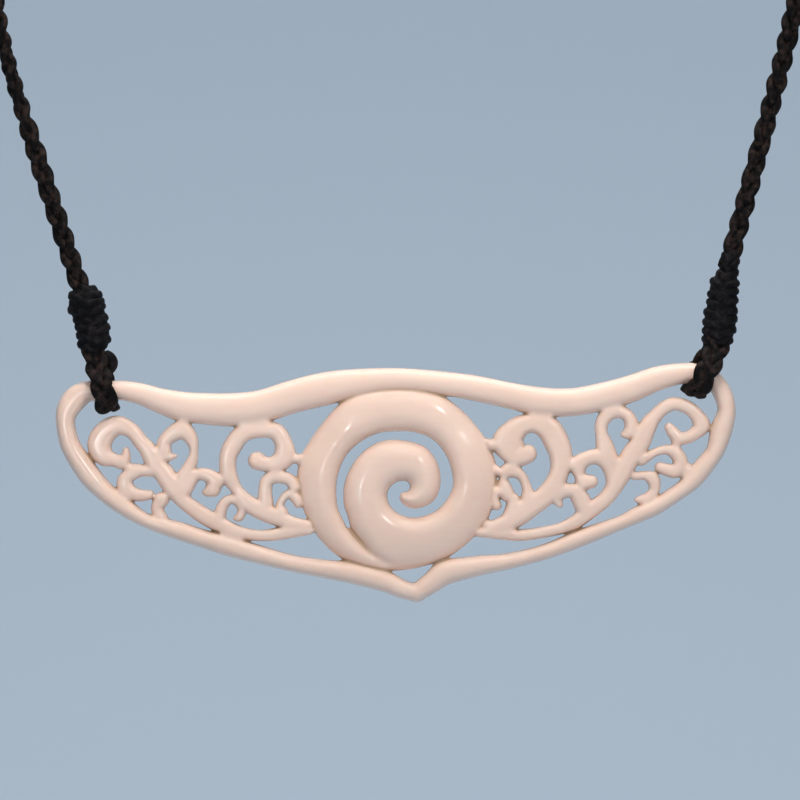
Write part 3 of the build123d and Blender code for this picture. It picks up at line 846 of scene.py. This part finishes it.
def binding(name, node, rows, knots, seed, material):
    """Thread wound over the joint of loop and cord, each turn crossing over the one before."""
    chance = np.random.default_rng(seed)
    samples = smooth_rows(rows, binding_sample)
    along = distances(samples[:, :2])

    def look_up(place):
        """Across, up and half width at places along the binding."""
        return [np.interp(place, along, samples[:, column]) for column in range(3)]

    def station(place):
        """Middle, sideways way and half width at places along the binding."""
        x, z, half = look_up(place)
        ahead = look_up(place + direction_probe)
        behind = look_up(place - direction_probe)
        side = unit(np.stack([ahead[1] - behind[1], 0 * x, behind[0] - ahead[0]], axis=1))
        return np.stack([x, 0 * x, z], axis=1), side, half

    parts = []
    turns = math.floor(along[-1] / thread_pitch * 2) - 1
    for number in range(turns):
        hand = 1 if number % 2 else -1
        angle = np.radians(np.linspace(-thread_span, thread_span, turn_points))
        share = np.abs(angle) / math.radians(thread_span)
        foot = (number + first_turn) * thread_pitch / 2 + chance.uniform(-turn_shift, turn_shift)
        place = foot - thread_drop * (share ** 2 - 0.5)
        middle, side, half = station(np.clip(place, 0, along[-1]))
        end_share = np.clip(share - tuck_from, 0, 1) / (1 - tuck_from)
        inset = thread_out + thread_tuck * end_share ** 2
        radius = np.maximum(half - inset, least_radius)[:, None]
        spread = hand * np.cos(angle)[:, None] * side
        deep = np.sin(angle)[:, None] * FRONT
        centres = middle + radius * (spread + binding_depth * deep)
        size = chance.uniform(*TURN_SIZES)
        parts.append(thread(
            centres, spread + deep, thread_out * size, thread_along * size,
            yarns=thread_yarns, lay=thread_lay,
        ))
    middle, side, half = station(np.arange(0, along[-1], core_step))
    core = np.maximum(half - core_inset, least_core)
    parts.append(thread(middle, np.tile(FRONT, (len(middle), 1)), core, core, core_sides))
    for knot in knots:
        centres = smooth_rows(knot, knot_sample, axes=3)
        number = np.arange(len(centres))
        ends = np.minimum(number, number[::-1]) / knot_taper
        half = knot_half * np.sqrt(np.clip(ends, knot_tip, 1))
        front = np.tile(FRONT, (len(centres), 1))
        parts.append(thread(centres, front, half, half, yarns=thread_yarns, lay=knot_lay))
    points, faces = joined(parts)
    wound = make_object(name, points, faces, material)
    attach(wound, "root")
    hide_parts(node)


def node_tree(name):
    """New material with an empty node tree, and a way to add nodes to it."""
    material = bpy.data.materials.new(name)
    material.use_nodes = True
    tree = material.node_tree
    tree.nodes.clear()
    output = tree.nodes.new("ShaderNodeOutputMaterial")
    shader = tree.nodes.new("ShaderNodeBsdfPrincipled")
    tree.links.new(shader.outputs["BSDF"], output.inputs["Surface"])
    return material, tree, shader


def add_node(tree, kind, **values):
    """Node of a kind, with the values of its sockets by name."""
    node = tree.nodes.new("ShaderNode" + kind)
    for socket, value in values.items():
        node.inputs[socket.replace("_", " ")].default_value = value
    return node


def noise(tree, place, scale, detail, roughness):
    """Noise texture at a place."""
    node = add_node(tree, "TexNoise", Scale=scale, Detail=detail, Roughness=roughness)
    tree.links.new(place, node.inputs["Vector"])
    return node.outputs["Fac"]


def ramp(tree, factor, stops):
    """Colour ramp of a factor: each stop is a place and a colour."""
    node = tree.nodes.new("ShaderNodeValToRGB")
    while len(node.color_ramp.elements) < len(stops):
        node.color_ramp.elements.new(1.0)
    for element, (place, colour) in zip(node.color_ramp.elements, stops):
        element.position = place
        element.color = (*colour, 1)
    tree.links.new(factor, node.inputs["Fac"])
    return node.outputs["Color"]


def mixed(tree, factor, one, two, blend="MIX"):
    """Mix of two colours by a factor."""
    node = tree.nodes.new("ShaderNodeMix")
    node.data_type = "RGBA"
    node.blend_type = blend
    for socket, value in ((node.inputs[0], factor), (node.inputs[6], one), (node.inputs[7], two)):
        if isinstance(value, bpy.types.NodeSocket):
            tree.links.new(value, socket)
        elif isinstance(value, tuple):
            socket.default_value = (*value, 1)
        else:
            socket.default_value = value
    return node.outputs[2]


def bone_material(name):
    """Polished bone: cream with faint grain, and a painted tan shade where the carving is cut in.
    """
    material, tree, shader = node_tree(name)
    place = tree.nodes.new("ShaderNodeTexCoord").outputs["Object"]
    stretched = tree.nodes.new("ShaderNodeMapping")
    stretched.inputs["Scale"].default_value = (0.16, 1.0, 1.0)
    tree.links.new(place, stretched.inputs["Vector"])
    cloud = noise(tree, place, scale=90.0, detail=3.0, roughness=0.55)
    along_grain = stretched.outputs["Vector"]
    grain = noise(tree, along_grain, scale=1500.0, detail=4.0, roughness=0.6)
    cream = ramp(tree, cloud, [(0.3, (0.885, 0.655, 0.54)), (0.7, (0.925, 0.70, 0.585))])
    streaks = ramp(tree, grain, [(0.38, (0.965, 0.945, 0.93)), (0.62, (1.0, 1.0, 1.0))])
    base = mixed(tree, 0.5, cream, streaks, "MULTIPLY")
    # Painted shade: tan mixed in where a point lies deep in a groove, darker the deeper it lies
    depth = tree.nodes.new("ShaderNodeAttribute")
    depth.attribute_name = "groove_depth"
    sunk = tree.nodes.new("ShaderNodeMapRange")
    sunk.interpolation_type = "SMOOTHSTEP"
    sunk.inputs["From Min"].default_value = 0.05
    sunk.inputs["From Max"].default_value = 0.45
    sunk.inputs["To Max"].default_value = 0.85
    tree.links.new(depth.outputs["Fac"], sunk.inputs["Value"])
    groove_shaded_colour = mixed(tree, sunk.outputs["Result"], base, (0.50, 0.33, 0.20))
    tree.links.new(groove_shaded_colour, shader.inputs["Base Color"])
    polish = tree.nodes.new("ShaderNodeMapRange")
    polish.inputs["To Min"].default_value = 0.13
    polish.inputs["To Max"].default_value = 0.19
    tree.links.new(cloud, polish.inputs["Value"])
    tree.links.new(polish.outputs["Result"], shader.inputs["Roughness"])
    shader.inputs["Subsurface Weight"].default_value = 0.18
    shader.inputs["Subsurface Radius"].default_value = (1.0, 0.55, 0.35)
    shader.inputs["Subsurface Scale"].default_value = 0.0012
    shader.inputs["IOR"].default_value = 1.5
    bump = add_node(tree, "Bump", Strength=0.05, Distance=0.00004)
    tree.links.new(grain, bump.inputs["Height"])
    tree.links.new(bump.outputs["Normal"], shader.inputs["Normal"])
    return material


def thread_material(name, dark, light):
    """Black waxed thread: near black with brown flecks and fine fibres."""
    material, tree, shader = node_tree(name)
    place = tree.nodes.new("ShaderNodeTexCoord").outputs["Object"]
    patches = noise(tree, place, scale=1100.0, detail=2.0, roughness=0.55)
    fibres = noise(tree, place, scale=5200.0, detail=3.0, roughness=0.65)
    worn = ramp(tree, patches, [(0.44, dark), (0.68, light)])
    fuzz = ramp(tree, fibres, [(0.3, (0.45, 0.45, 0.45)), (0.75, (1.0, 1.0, 1.0))])
    colour = mixed(tree, 0.8, worn, fuzz, "MULTIPLY")
    tree.links.new(colour, shader.inputs["Base Color"])
    shader.inputs["Roughness"].default_value = 0.68
    shader.inputs["Specular IOR Level"].default_value = 0.17
    bump = add_node(tree, "Bump", Strength=0.5, Distance=0.00008)
    tree.links.new(fibres, bump.inputs["Height"])
    tree.links.new(bump.outputs["Normal"], shader.inputs["Normal"])
    return material


def plain_material(name, colour, roughness):
    """Even surface for the floor."""
    material, _, shader = node_tree(name)
    shader.inputs["Base Color"].default_value = (*colour, 1)
    shader.inputs["Roughness"].default_value = roughness
    return material


def studio():
    """Cool floor that sweeps up into a wall behind, well away from the necklace."""
    floor_z = -0.34
    floor_front = -2.2
    wall_y = 0.9
    wall_top = 2.2
    bend = 0.35
    half = 2.4
    profile = [(floor_front, floor_z), (wall_y - bend, floor_z)]
    turns = 12
    for number in range(1, turns + 1):
        angle = number / turns * math.pi / 2
        y = wall_y - bend + bend * math.sin(angle)
        profile.append((y, floor_z + bend - bend * math.cos(angle)))
    profile.append((wall_y, wall_top))
    points = [(side * half / MM, y / MM, z / MM) for y, z in profile for side in (-1, 1)]
    rows = range(0, 2 * len(profile) - 2, 2)
    faces = [(row, row + 1, row + 3, row + 2) for row in rows]
    pale = plain_material("studio_floor", colour=(0.56, 0.66, 0.76), roughness=0.85)
    floor = make_object("studio_floor", points, faces, pale)


def area_light(
    name, place, target, size, power,
    colour=(1.0, 1.0, 1.0), height=None, spread=180, shine=True,
):
    """Soft light that looks at a target: square unless it has a height, seen in gloss or not."""
    light = bpy.data.lights.new(name, "AREA")
    light.shape = "RECTANGLE"
    light.size = size
    light.size_y = height or size
    light.spread = math.radians(spread)
    light.energy = power
    light.color = colour
    holder = bpy.data.objects.new(name, light)
    holder.location = place
    holder.rotation_euler = (Vector(target) - Vector(place)).to_track_quat("-Z", "Y").to_euler()
    holder.visible_camera = False
    holder.visible_glossy = shine
    bpy.context.scene.collection.objects.link(holder)


def lights():
    """Two soft lights close in front from above, two small ones for highlights, and fills."""
    warm = (1.0, 0.97, 0.94)
    plate = (0.0, 0.0, -0.16)
    area_light(
        "strip", (0.0, -0.06, -0.085), (0.0, 0.0, -0.14), size=0.3, power=0.0085,
        colour=warm, height=0.03, spread=40, shine=False,
    )
    area_light(
        "softbox", (0.0, -0.1, -0.075), (0.0, 0.0, -0.165), size=0.045, power=0.0605,
        colour=warm, shine=False,
    )
    area_light("right_spark", (0.2, -0.43, 0.04), plate, size=0.07, power=0.36)
    area_light("left_spark", (-0.1, -0.48, -0.15), plate, size=0.03, power=0.1)
    area_light("front_fill", (-0.2, -0.9, 0.0), (0.0, 0.0, -0.15), size=0.5, power=0.37)
    area_light("wall_light", (0.0, 0.1, 1.2), (0.0, 0.8, -0.2), size=1.2, power=14.0)
    world = bpy.data.worlds.new("studio")
    world.use_nodes = True
    background = world.node_tree.nodes["Background"]
    background.inputs["Color"].default_value = (0.93, 0.95, 1.0, 1)
    background.inputs["Strength"].default_value = 0.16
    bpy.context.scene.world = world
    bpy.context.scene.view_settings.view_transform = "Standard"


def camera():
    """Level long lens straight on to the plate."""
    picture_width = picture_pixels * pixel * MM
    target = Vector([part * MM for part in picture_middle])
    lens = bpy.data.cameras.new("camera")
    lens.lens = lens_length
    lens.sensor_width = sensor_width
    lens.clip_start = 0.01
    holder = bpy.data.objects.new("camera", lens)
    distance = picture_width * lens.lens / lens.sensor_width
    holder.location = target + Vector((0, -distance, 0))
    holder.rotation_euler = (math.pi / 2, 0, 0)
    bpy.context.scene.collection.objects.link(holder)
    bpy.context.scene.camera = holder


bone = bone_material("carved_bone")
cord_black = thread_material(
    "neck_cord_thread", dark=(0.003, 0.0022, 0.0025), light=(0.04, 0.024, 0.019),
)
thread_black = thread_material(
    "binding_thread", dark=(0.0025, 0.0022, 0.0028), light=(0.017, 0.0135, 0.015),
)
carved_plate(bone)
for clasp_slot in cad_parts["nape_clasp"].material_slots:
    clasp_slot.material = bone
plaited_cord(
    "left_neck_cord", "left_cord", LEFT_ROUTE, cord_black, edge_on_at,
)
plaited_cord("right_neck_cord", "right_cord", RIGHT_ROUTE, cord_black)
hanging_loop("left_loop", "left_hanging_loop", LEFT_LOOP, LEFT_SEAT, LEFT_ROUTE, cord_black)
hanging_loop("right_loop", "right_hanging_loop", RIGHT_LOOP, RIGHT_SEAT, RIGHT_ROUTE, cord_black)
left_knots = [LEFT_KNOT, LEFT_KNOT_MIDDLE]
binding(
    "left_wound_thread", "left_binding", LEFT_BINDING, left_knots, seed=3, material=thread_black,
)
binding(
    "right_wound_thread", "right_binding", RIGHT_BINDING, [], seed=8, material=thread_black,
)
studio()
lights()
camera()
